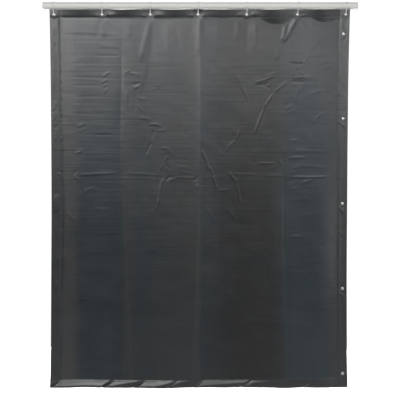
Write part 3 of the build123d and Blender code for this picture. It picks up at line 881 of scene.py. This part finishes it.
def tints(u, v):
    """Bluish to warm (-1 to 1): the film's bluish colour, with painted colour reflection in bands; and darker to
    lighter: painted light and shading, with a little random variation.
    """
    bent = u + 7 * lattice(u, v, 120, 160, 51) + 9 * lattice(u, v, 60, 500, 52) * (np.abs(u) > 30)
    hue_and_painted_reflection = np.interp(bent, TONE_U, HUE_AND_PAINTED_REFLECTION) + 0.28 * lattice(u, v, 130, 90, 53) + 0.15 * lattice(u, v, 60, 28, 54)
    # the blue is painted fainter near the top, where the sheen is strongest
    hue_and_painted_reflection = np.where(hue_and_painted_reflection < 0, hue_and_painted_reflection * (0.15 + 0.85 * step(-150, -620, v)), hue_and_painted_reflection)
    painted_shading = np.interp(bent, TONE_U, PAINTED_SHADING) * (1 + 0.07 * lattice(u, v, 90, 120, 55) + 0.04 * lattice(u, v, 200, 22, 56))
    # painted shading: darker towards the bottom, a painted highlight by the left hem near the top, darker low across
    # the middle, lighter low on the right and low by the left hem
    painted_shading = painted_shading * (1 - 0.10 * step(-950, -1450, v)) * (1 + 0.3 * step(-430, -180, v) * step(-575, -615, u))
    painted_shading = painted_shading * (1 - 0.13 * step(-1330, -1640, v) * step(-570, -520, u) * step(430, 370, u))
    painted_shading = painted_shading * (1 + 0.12 * step(-1000, -1300, v) * step(375, 430, u) * step(620, 560, u) + 0.06 * step(-1200, -1400, v) * step(-575, -600, u))
    # the hems: a neutral colour and an even painted level, with a painted highlight down the upper right hem
    hem = np.maximum.reduce([step(HEM_TOP - 1, HEM_TOP + 1, v), step(HEM_LOW + 1, HEM_LOW - 1, v), step(HEM_LEFT + 1, HEM_LEFT - 1, u), step(HEM_RIGHT - 1, HEM_RIGHT + 1, u)])
    hue_and_painted_reflection = hue_and_painted_reflection * (1 - hem) + 0.5 * hem
    painted_shading = painted_shading * (1 - hem) + (1.0 + 0.95 * step(-1050, -300, v) * step(642, 668, u)) * hem
    return hue_and_painted_reflection, painted_shading


def lines(marks, pitch):
    """Grid lines through every mark, at about this pitch between them."""
    out = [marks[0]]
    for a, b in zip(marks[:-1], marks[1:]):
        n = max(1, int(round((b - a) / pitch)))
        out += [a + (b - a) * i / n for i in range(1, n + 1)]
    return np.array(out)


def stitches(u0, u1):
    """Centre, direction and side of every stitch between two cuts."""
    out = []
    pitch = 6.4
    tl, tr = HEM_LEFT - SEAM_IN, HEM_RIGHT + SEAM_IN
    vt, vl = HEM_TOP + SEAM_IN, HEM_LOW - SEAM_IN
    for v in (vt, vl):
        for i in range(int((U_R - U_L - 10) / pitch)):
            u = U_L + 6 + i * pitch
            if u0 <= u < u1:
                out.append((u, v, 0))
    for u in (tl, tr):
        if u0 <= u < u1:
            for i in range(int((V_T - V_B - 10) / pitch)):
                out.append((u, V_B + 6 + i * pitch, 1))
    return out


PITCH_U, PITCH_V = 3.6, 3.6
V_LINES = lines([V_B, V_B + 3, HEM_LOW - 3, HEM_LOW + 3, HEM_TOP - 3, HEM_TOP + 3, EYE_Z - 9, EYE_Z + 9, V_T - 2.5, V_T], PITCH_V)


def cloth_piece(name, u0, u1, hole_x=None):
    marks = [u0, u1]
    if hole_x is not None:
        marks += [hole_x - 9, hole_x + 9]
    for m in (U_L + 3, HEM_LEFT - 3, HEM_LEFT + 3, HEM_RIGHT - 3, HEM_RIGHT + 3, U_R - 3):
        if u0 + 1 < m < u1 - 1:
            marks.append(m)
    marks = sorted(set(round(m, 4) for m in marks))
    us = lines(marks, PITCH_U)
    vs = V_LINES
    nu, nv = len(us), len(vs)
    Ug, Vg = np.meshgrid(us, vs, indexing="ij")
    idx = np.arange(nu * nv).reshape(nu, nv)
    keep = np.ones((nu - 1, nv - 1), bool)
    par = [np.stack([Ug.ravel(), Vg.ravel()], 1)]
    faces = []
    count = nu * nv
    if hole_x is not None:
        i0, i1 = np.argmin(abs(us - (hole_x - 9))), np.argmin(abs(us - (hole_x + 9)))
        j0, j1 = np.argmin(abs(vs - (EYE_Z - 9))), np.argmin(abs(vs - (EYE_Z + 9)))
        keep[i0:i1, j0:j1] = False
        loop = [idx[i, j0] for i in range(i0, i1)]
        loop += [idx[i1, j] for j in range(j0, j1)]
        loop += [idx[i, j1] for i in range(i1, i0, -1)]
        loop += [idx[i0, j] for j in range(j1, j0, -1)]
        loop = np.array(loop)
        uv = par[0][loop]
        ang = np.arctan2(uv[:, 1] - EYE_Z, uv[:, 0] - hole_x)
        prev = loop
        for r in (7.0, 5.0):
            par.append(np.stack([hole_x + r * np.cos(ang), EYE_Z + r * np.sin(ang)], 1))
            ring = count + np.arange(len(loop))
            count += len(loop)
            faces.append(np.stack([prev, np.roll(prev, -1), np.roll(ring, -1), ring], 1))
            prev = ring
    ii, jj = np.where(keep)
    grid = np.stack([idx[ii, jj], idx[ii + 1, jj], idx[ii + 1, jj + 1], idx[ii, jj + 1]], 1)
    faces = np.concatenate([grid] + faces)
    par = np.concatenate(par)
    used = np.unique(faces)
    remap = -np.ones(len(par), int)
    remap[used] = np.arange(len(used))
    faces, par = remap[faces], par[used]
    n = len(par)
    front, back, nf, nb = both_sides(par[:, 0], par[:, 1])
    # the open edges of the front layer, each walked the way its face runs
    e = np.concatenate([faces[:, [k, (k + 1) % 4]] for k in range(4)])
    key = e[:, 0].astype(np.int64) * n + e[:, 1]
    rev = e[:, 1].astype(np.int64) * n + e[:, 0]
    rim = e[~np.isin(key, rev)]
    rim_faces = np.stack([rim[:, 1], rim[:, 0], rim[:, 0] + n, rim[:, 1] + n], 1)
    all_faces = np.concatenate([faces, faces[:, ::-1] + n, rim_faces])
    verts = np.concatenate([front, back])
    q = verts[rim_faces]
    rn = np.cross(q[:, 1] - q[:, 0], q[:, 2] - q[:, 1])
    rn /= np.maximum(np.linalg.norm(rn, axis=1, keepdims=True), 1e-9)
    loop_n = np.concatenate([nf[faces].reshape(-1, 3), nb[faces[:, ::-1]].reshape(-1, 3), np.repeat(rn, 4, 0)])
    flat = np.concatenate([par, par + [3000, 0]]) * MM
    loop_uv = flat[all_faces].reshape(-1, 2)
    mats = np.zeros(len(all_faces), int)
    # lighter fold lines: creases and hem edges
    pu, pv = par[:, 0], par[:, 1]
    wear = np.zeros(n)
    for zs, us, wl, wr, hs in CREASES:
        wear = np.maximum(wear, 0.30 * np.exp(-np.abs(pu - curve(zs, us, pv)) / 2.4))
    edge = np.minimum.reduce([V_T - pv, pv - V_B, pu - U_L, U_R - pu])
    wear = np.maximum(wear, 0.6 * np.exp(-np.maximum(edge, 0) / 2.0))
    wear = wear * (0.6 + 0.4 * lattice(pu, pv, 30, 30, 21))
    wear = np.concatenate([wear, wear])
    # painted colour reflection and painted shading for each vertex
    hue_and_painted_reflection, painted_shading = tints(pu, pv)
    hue_and_painted_reflection, painted_shading = np.concatenate([hue_and_painted_reflection, hue_and_painted_reflection]), np.concatenate([painted_shading, painted_shading])
    # stitches: small lens-shaped runs of thread, on both faces
    st = stitches(u0, u1)
    if st:
        st = np.array(st)
        su, sv, along_v = st[:, 0], st[:, 1], st[:, 2].astype(bool)
        f, b, snf, snb = both_sides(su, sv)
        d = 1.6
        fu, bu, _, _ = both_sides(np.where(along_v, su, su + d), np.where(along_v, sv + d, sv))
        rings = [(-2.3, 0.02), (-1.6, 0.30), (0.0, 0.40), (1.6, 0.30), (2.3, 0.02)]
        sides = 6
        for base, nn, nxt in ((f, snf, fu), (b, snb, bu)):
            t = nxt - base
            t /= np.linalg.norm(t, axis=1, keepdims=True)
            s = np.cross(nn, t)
            m = len(base)
            vs_, ns_ = [], []
            for off, r in rings:
                for a in range(sides):
                    c, q2 = math.cos(2 * math.pi * a / sides), math.sin(2 * math.pi * a / sides)
                    vs_.append(base + nn * 0.08 + t * off + r * (c * s + q2 * nn))
                    ns_.append(c * s + q2 * nn)
            vv = np.stack(vs_, 1)  # stitch, vertex, xyz
            nn_ = np.stack(ns_, 1)
            start = len(verts)
            local = []
            for k in range(len(rings) - 1):
                for a in range(sides):
                    a2 = (a + 1) % sides
                    local.append([k * sides + a, k * sides + a2, (k + 1) * sides + a2, (k + 1) * sides + a])
            local = np.array(local)
            if np.dot(np.cross(vv[0, local[0, 1]] - vv[0, local[0, 0]], vv[0, local[0, 2]] - vv[0, local[0, 1]]), nn_[0, local[0, 0]]) < 0:
                local = local[:, ::-1]
            per = len(rings) * sides
            offs = start + np.arange(m)[:, None, None] * per
            fs = (offs + local[None]).reshape(-1, 4)
            verts = np.concatenate([verts, vv.reshape(-1, 3)])
            vn = nn_.reshape(-1, 3)
            all_faces = np.concatenate([all_faces, fs])
            mats = np.concatenate([mats, np.ones(len(fs), int)])
            loop_n = np.concatenate([loop_n, vn[fs - start].reshape(-1, 3)])
            suv = np.repeat(np.stack([su, sv], 1), per, 0) * MM
            suv = suv + np.tile(np.stack([np.repeat([r[0] for r in rings], sides), np.tile(np.arange(sides), len(rings))], 1) * MM, (m, 1))
            loop_uv = np.concatenate([loop_uv, suv[fs - start].reshape(-1, 2)])
            wear, hue_and_painted_reflection, painted_shading = (np.concatenate([w_, np.zeros(m * per)]) for w_ in (wear, hue_and_painted_reflection, painted_shading))
    me = bpy.data.meshes.new(name)
    me.vertices.add(len(verts))
    me.vertices.foreach_set("co", (verts * MM).astype(np.float32).ravel())
    me.loops.add(len(all_faces) * 4)
    me.loops.foreach_set("vertex_index", all_faces.ravel().astype(np.int32))
    me.polygons.add(len(all_faces))
    me.polygons.foreach_set("loop_start", (np.arange(len(all_faces)) * 4).astype(np.int32))
    me.polygons.foreach_set("loop_total", np.full(len(all_faces), 4, np.int32))
    me.polygons.foreach_set("material_index", mats.astype(np.int32))
    me.update(calc_edges=True)
    me.polygons.foreach_set("use_smooth", np.ones(len(all_faces), bool))
    uvl = me.uv_layers.new(name="flat")
    uvl.data.foreach_set("uv", loop_uv.astype(np.float32).ravel())
    for label, values in (("wear", wear), ("hue_and_painted_reflection", hue_and_painted_reflection), ("painted_shading", painted_shading)):
        me.attributes.new(label, "FLOAT", "POINT").data.foreach_set("value", values.astype(np.float32))
    me.materials.append(PVC)
    me.materials.append(THREAD)
    me.normals_split_custom_set(loop_n.tolist())
    me.validate(clean_customdata=False)
    ob = bpy.data.objects.new(name, me)
    scene.collection.objects.link(ob)
    return ob


mid_a = [(a + b) / 2 for a, b in zip(ROOT_OUT, RIDGE)]
mid_b = [(a + b) / 2 for a, b in zip(RIDGE, ROOT_IN)]
pieces = []
n_piece = 0


def add_cloth(u0, u1, nodes, hole=None):
    global n_piece
    n_piece += 1
    ob = cloth_piece(f"curtain_sheet_{n_piece:02d}", u0, u1, hole)
    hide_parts(*nodes)
    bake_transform(ob)
    pieces.append(ob)


for k in range(6):
    left = U_L if k == 0 else HOOK_X[k] - 9
    right = U_R if k == 5 else HOOK_X[k + 1] - 9
    add_cloth(left, mid_a[k], [f"curtain_band_{k + 1}"], HOOK_X[k])
    add_cloth(mid_a[k], mid_b[k], [f"curtain_panel_{k + 1}a", f"curtain_panel_{k + 1}b"])
    add_cloth(mid_b[k], right, [f"curtain_band_{k + 2}"], HOOK_X[6] if k == 5 else None)

# ---------------------------------------------------------------------------
# turned and bent metal pieces
# ---------------------------------------------------------------------------


def finish_mesh(name, verts, faces, mats, smooth=True, face_mat=None):
    me = bpy.data.meshes.new(name)
    me.from_pydata([tuple(v) for v in np.asarray(verts) * MM], [], faces)
    for m in mats:
        me.materials.append(m)
    for i, p in enumerate(me.polygons):
        p.use_smooth = smooth
        if face_mat is not None:
            p.material_index = face_mat[i]
    me.update()
    ob = bpy.data.objects.new(name, me)
    scene.collection.objects.link(ob)
    return ob


def turned(profile, x, z, n=48):
    """A closed ring or solid turned about the Y axis through (x, z). profile is (radius, y) pairs."""
    verts, faces = [], []
    rows = []
    for r, y in profile:
        if r < 1e-6:
            rows.append([len(verts)])
            verts.append((x, y, z))
        else:
            rows.append(list(range(len(verts), len(verts) + n)))
            for i in range(n):
                a = 2 * math.pi * i / n
                verts.append((x + r * math.cos(a), y, z + r * math.sin(a)))
    closed = profile[0][0] > 1e-6 and profile[-1][0] > 1e-6
    pairs = list(zip(rows[:-1], rows[1:]))
    if closed:
        pairs.append((rows[-1], rows[0]))
    for ra, rb in pairs:
        for i in range(n):
            j = (i + 1) % n
            if len(ra) == 1:
                faces.append((ra[0], rb[i], rb[j]))
            elif len(rb) == 1:
                faces.append((ra[i], rb[0], ra[j]))
            else:
                faces.append((ra[i], rb[i], rb[j], ra[j]))
    return verts, faces


def joined(name, parts, mat):
    verts, faces = [], []
    for v, f in parts:
        o = len(verts)
        verts += v
        faces += [tuple(i + o for i in q) for q in f]
    ob = finish_mesh(name, verts, faces, [mat])
    import bmesh
    bm = bmesh.new()
    bm.from_mesh(ob.data)
    bmesh.ops.recalc_face_normals(bm, faces=bm.faces)
    bm.to_mesh(ob.data)
    bm.free()
    sharpen(ob.data, 50)
    return ob


def sharpen(me, degrees):
    """Marks edges sharper than this, so that turned corners stay crisp."""
    import bmesh
    bm = bmesh.new()
    bm.from_mesh(me)
    for e in bm.edges:
        if len(e.link_faces) == 2 and e.calc_face_angle(0) > math.radians(degrees):
            e.smooth = False
    bm.to_mesh(me)
    bm.free()


def arc(cx, cy, r, a0, a1, n):
    return [
        (cx + r * math.cos(math.radians(a0 + (a1 - a0) * i / n)), cy + r * math.sin(math.radians(a0 + (a1 - a0) * i / n)))
        for i in range(n + 1)
    ]


for k, e in enumerate(EY, 1):
    h = 0.5
    lo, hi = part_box(f"eyelet_{k}")
    y0, y1 = lo.y * 1000, hi.y * 1000  # front of the flange, back of the washer
    # grommet: rolled flange, barrel, and the barrel's end turned back over the washer
    prof = [(7.45, -h - 0.02)] + arc(7.05, -h - 0.36, 0.40, 20, 110, 5)
    prof += [(6.2, y0 + 0.02), (5.6, y0)] + arc(4.95, y0 + 0.62, 0.62, -80, -180, 6)
    prof[-1] = (4.25, y0 + 0.75)
    prof += [(4.25, y1 - 0.35)] + arc(4.75, y1 - 0.45, 0.45, 180, 60, 5)
    prof += [(5.25, y1 - 0.25), (5.2, h + 0.02)]
    prof += [(4.98, h), (4.98, -h), (5.6, -h - 0.01)]
    # washer
    wash = [(5.02, h + 0.02), (7.4, h + 0.02), (7.5, h + 0.2), (7.3, y1 - 0.15), (6.9, y1 - 0.02), (5.9, y1 - 0.12), (5.3, y1 - 0.28)]
    ob = joined(f"eyelet_ring_{k}", [turned(prof, e.x, e.z, 56), turned(wash, e.x, e.z, 56)], NICKEL)
    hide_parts(f"eyelet_{k}")
    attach(ob, f"band_{k}")


def stud_parts():
    h = 0.5
    lo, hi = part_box("press_stud_caps")
    top = lo.y * 1000
    caps, sockets, balls, heads = [], [], [], []
    for x, z in CAPS:
        prof = [(0, top)]
        for i in range(1, 9):
            a = i / 9 * 0.95
            prof.append((6.6 * math.sin(a * math.pi / 2) / math.sin(0.95 * math.pi / 2), top + 1.15 * (1 - math.cos(a * math.pi / 2)) / (1 - math.cos(0.95 * math.pi / 2))))
        prof += [(7.15, top + 1.45), (7.45, top + 1.85), (7.42, -h - 0.12), (7.2, -h - 0.01), (2.0, -h - 0.01), (2.0, h + 0.98), (0, h + 0.98)]
        caps.append(turned(prof, x, z, 56))
        y1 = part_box("press_stud_sockets")[1].y * 1000
        sock = [(2.1, h + 0.02), (5.9, h + 0.02), (6.22, h + 0.3), (6.1, h + 0.75), (5.2, h + 1.05), (5.05, h + 1.5), (5.05, y1 - 0.8)]
        sock += arc(4.55, y1 - 0.5, 0.5, 10, 90, 4) + [(3.75, y1), (3.32, y1 - 0.45), (3.32, h + 1.05), (2.1, h + 1.0)]
        sockets.append(turned(sock, x, z, 48))
    for k, (x, z) in enumerate(BALLS, 1):
        y1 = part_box("press_stud_balls")[1].y * 1000
        prof = [(0, y1), (1.6, y1), (2.6, y1 - 0.25), (3.05, y1 - 0.8), (3.2, y1 - 1.4), (3.0, y1 - 2.0), (2.75, y1 - 2.5), (2.8, h + 1.05)]
        prof += [(4.4, h + 0.98), (5.7, h + 0.8), (6.2, h + 0.45), (6.1, h + 0.03), (0, h + 0.03)]
        balls.append(turned(prof, x, z, 48))
        y0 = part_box(f"press_stud_post_{k}")[0].y * 1000
        head = [(0, y0), (2.6, y0 + 0.03), (3.9, y0 + 0.14), (4.4, y0 + 0.34), (4.45, -h - 0.02), (2.0, -h), (2.0, h + 0.85), (0, h + 0.85)]
        heads.append(turned(head, x, z, 40))
    return caps, sockets, balls, heads


caps, sockets, balls, heads = stud_parts()
ob = joined("stud_caps", caps, STUD)
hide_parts("press_stud_caps"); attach(ob, "band_7")
ob = joined("stud_sockets", sockets, STUD)
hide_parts("press_stud_sockets"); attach(ob, "band_7")
ob = joined("stud_balls", balls, STUD)
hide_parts("press_stud_balls"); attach(ob, "band_1")
ob = joined("stud_post_heads", heads, PVC)
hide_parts(*[f"press_stud_post_{k}" for k in range(1, 6)]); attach(ob, "band_1")


def wire_ring(name, node, pivot_x, mat):
    """A hook: wire bent to a closed teardrop over the rail and through the eyelet. Its lean is read from the frame."""
    lo, hi = (c * 1000 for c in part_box(node))
    wire = 4.0
    r1 = hi.y - wire / 2
    r2 = 8.0
    zc = PIVOT_Z + r2
    a = math.asin((r1 - r2) / -zc)
    # in the hook's own plane: (y, z)
    path = []
    n1, n2, n3 = 44, 12, 22
    for i in range(n1 + 1):
        t = -a + (math.pi + 2 * a) * i / n1
        path.append((r1 * math.cos(t), r1 * math.sin(t)))
    q1 = (-r1 * math.cos(a), -r1 * math.sin(a))
    q2 = (-r2 * math.cos(a), zc - r2 * math.sin(a))
    for i in range(1, n2):
        s = i / n2
        path.append((q1[0] + (q2[0] - q1[0]) * s, q1[1] + (q2[1] - q1[1]) * s))
    for i in range(n3 + 1):
        t = math.pi + a + (math.pi - 2 * a) * i / n3
        path.append((r2 * math.cos(t), zc + r2 * math.sin(t)))
    for i in range(1, n2):
        s = i / n2
        path.append((-q2[0] + (-q1[0] + q2[0]) * s, q2[1] + (q1[1] - q2[1]) * s))
    path = np.array(path)
    # lean about the wire's centre in the eyelet
    width = hi.x - lo.x
    mid = (hi.x + lo.x) / 2
    reach = max(0.0, width - wire) / 1.0
    lean = math.asin(min(0.2, reach / (r1 - PIVOT_Z)))
    if mid < pivot_x:
        lean = -lean
    m = len(path)
    nxt, prv = np.roll(path, -1, 0), np.roll(path, 1, 0)
    t = nxt - prv
    t /= np.linalg.norm(t, axis=1, keepdims=True)
    nrm = np.stack([-t[:, 1], t[:, 0]], 1)
    sides = 20
    verts, faces = [], []
    # the joint where the wire's ends meet, on the back leg, is a shallow groove
    joint = n1 + 6
    for i in range(m):
        r = wire / 2
        if i == joint:
            r -= 0.22
        for s in range(sides):
            b = 2 * math.pi * s / sides
            y = path[i, 0] + nrm[i, 0] * r * math.cos(b)
            z = path[i, 1] + nrm[i, 1] * r * math.cos(b)
            x = r * math.sin(b)
            zz = z - PIVOT_Z
            verts.append((pivot_x + x * math.cos(lean) + zz * math.sin(lean), y, PIVOT_Z + zz * math.cos(lean) - x * math.sin(lean)))
    for i in range(m):
        for s in range(sides):
            j, q = (i + 1) % m, (s + 1) % sides
            faces.append((i * sides + s, j * sides + s, j * sides + q, i * sides + q))
    ob = joined(name, [(verts, faces)], mat)
    return ob


for k in range(1, 8):
    ob = wire_ring(f"hook_wire_{k}", f"curtain_hook_{k}", HOOK_X[k - 1], ZINC)
    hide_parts(f"curtain_hook_{k}")
    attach(ob, f"hook_{k}")


def rail_piece():
    lo, hi = (c * 1000 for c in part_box("rail_tube"))
    ro, ri = hi.z, hi.z - 1.5
    # profile round the wall's section: outside, end face, bore, end face
    n = 72
    xs_out = [lo.x + 0.35] + list(np.linspace(lo.x + 6, hi.x - 6, 60)) + [hi.x - 0.35]
    prof = [(x, ro) for x in xs_out]
    prof += [(hi.x - 0.1, ro - 0.1), (hi.x, ro - 0.4), (hi.x, ri + 0.35), (hi.x - 0.15, ri + 0.1)]
    prof += [(x, ri) for x in [hi.x - 0.5] + list(np.linspace(hi.x - 40, lo.x + 40, 24)) + [lo.x + 0.5]]
    prof += [(lo.x + 0.15, ri + 0.1), (lo.x, ri + 0.35), (lo.x, ro - 0.4), (lo.x + 0.1, ro - 0.1)]
    verts, faces, fm = [], [], []
    for x, r in prof:
        for i in range(n):
            a = 2 * math.pi * i / n
            verts.append((x, r * math.cos(a), r * math.sin(a)))
    m = len(prof)
    for p in range(m):
        q = (p + 1) % m
        painted = p < len(xs_out)
        for i in range(n):
            j = (i + 1) % n
            faces.append((p * n + i, p * n + j, q * n + j, q * n + i))
            fm.append(0 if painted else 1)
    ob = finish_mesh("rail", verts, faces, [RAIL, BARE], True, fm)
    import bmesh
    bm = bmesh.new()
    bm.from_mesh(ob.data)
    bmesh.ops.recalc_face_normals(bm, faces=bm.faces)
    bm.to_mesh(ob.data)
    bm.free()
    sharpen(ob.data, 50)
    return ob


rail = rail_piece()
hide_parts("rail_tube")
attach(rail, "rail")

# ---------------------------------------------------------------------------
# floor, lights, world
# ---------------------------------------------------------------------------
FLOOR_Z = -1.95
me = bpy.data.meshes.new("floor")
ring = [(3.1 * math.cos(2 * math.pi * i / 96), 3.1 * math.sin(2 * math.pi * i / 96), FLOOR_Z) for i in range(96)]
me.from_pydata(ring, [], [tuple(range(96))])
floor = bpy.data.objects.new("floor", me)
scene.collection.objects.link(floor)
k = Nodes("floor_pale")
k.bsdf.inputs["Base Color"].default_value = (0.86, 0.86, 0.86, 1)
k.bsdf.inputs["Roughness"].default_value = 0.9
me.materials.append(k.m)


def area(name, loc, target, size, power, color=(1, 1, 1), spread=180):
    d = bpy.data.lights.new(name, "AREA")
    d.shape = "RECTANGLE"
    d.size, d.size_y = size
    d.energy = power
    d.color = color
    d.spread = math.radians(spread)
    o = bpy.data.objects.new(name, d)
    o.location = loc
    v = Vector(target) - Vector(loc)
    o.rotation_euler = v.to_track_quat("-Z", "Y").to_euler()
    scene.collection.objects.link(o)
    return o


# a bank of softboxes in front, high on the left, lower and weaker on the right
BANK = [
    # x, z, width, height, power
    (-2.6, 0.4, 1.7, 0.6, 28.0),
    (-2.6, 1.3, 1.7, 1.2, 29.0),
    (-0.9, 0.1, 1.7, 1.2, 9.5),
    (-0.9, 1.0, 1.7, 0.6, 25.5),
    (-0.9, 2.35, 1.7, 0.7, 56.5),
    (0.9, 0.4, 1.7, 0.6, 13.0),
    (0.9, 1.0, 1.7, 0.6, 6.5),
    (0.9, 2.25, 1.7, 0.5, 14.0),
    (0.9, -0.7, 1.7, 1.4, 3.0),
    (2.6, -1.2, 1.7, 0.6, 11.5),
    (2.6, 0.5, 1.7, 0.8, 17.5),
]
for i, (x, z, wide, high, power) in enumerate(BANK):
    area(f"box_{i + 1}", (x, -4.5, z), (0, 0, -0.8), (wide, high), power)
area("side_right", (3, -1.5, -0.3), (0, 0, -0.9), (0.8, 2.0), 8.5)
area("behind", (0, 4.0, 2.2), (0, 3.0, -1.95), (4.0, 1.6), 300, spread=80)
area("above", (0, -1.6, 2.4), (0, 0, 0), (3.2, 0.6), 1.5, spread=90)

w = bpy.data.worlds.new("world")
scene.world = w
w.use_nodes = True
t = w.node_tree
t.nodes.clear()
out = t.nodes.new("ShaderNodeOutputWorld")
seen = t.nodes.new("ShaderNodeBackground")
seen.inputs[0].default_value = (1, 1, 1, 1)
seen.inputs[1].default_value = 1.05
lit = t.nodes.new("ShaderNodeBackground")
coord = t.nodes.new("ShaderNodeTexCoord")
sep = t.nodes.new("ShaderNodeSeparateXYZ")
ramp = t.nodes.new("ShaderNodeValToRGB")
mr = t.nodes.new("ShaderNodeMapRange")
mr.inputs[1].default_value, mr.inputs[2].default_value = -0.2, 0.9
t.links.new(coord.outputs["Generated"], sep.inputs[0])
t.links.new(sep.outputs["Z"], mr.inputs[0])
t.links.new(mr.outputs[0], ramp.inputs[0])
ramp.color_ramp.elements[0].color = (0.30, 0.31, 0.32, 1)
ramp.color_ramp.elements[1].color = (0.75, 0.76, 0.78, 1)
t.links.new(ramp.outputs[0], lit.inputs[0])
lit.inputs[1].default_value = 0.05
path = t.nodes.new("ShaderNodeLightPath")
mixs = t.nodes.new("ShaderNodeMixShader")
t.links.new(path.outputs["Is Camera Ray"], mixs.inputs[0])
t.links.new(lit.outputs[0], mixs.inputs[1])
t.links.new(seen.outputs[0], mixs.inputs[2])
t.links.new(mixs.outputs[0], out.inputs[0])

scene.view_settings.view_transform = "Standard"
scene.view_settings.look = "None"
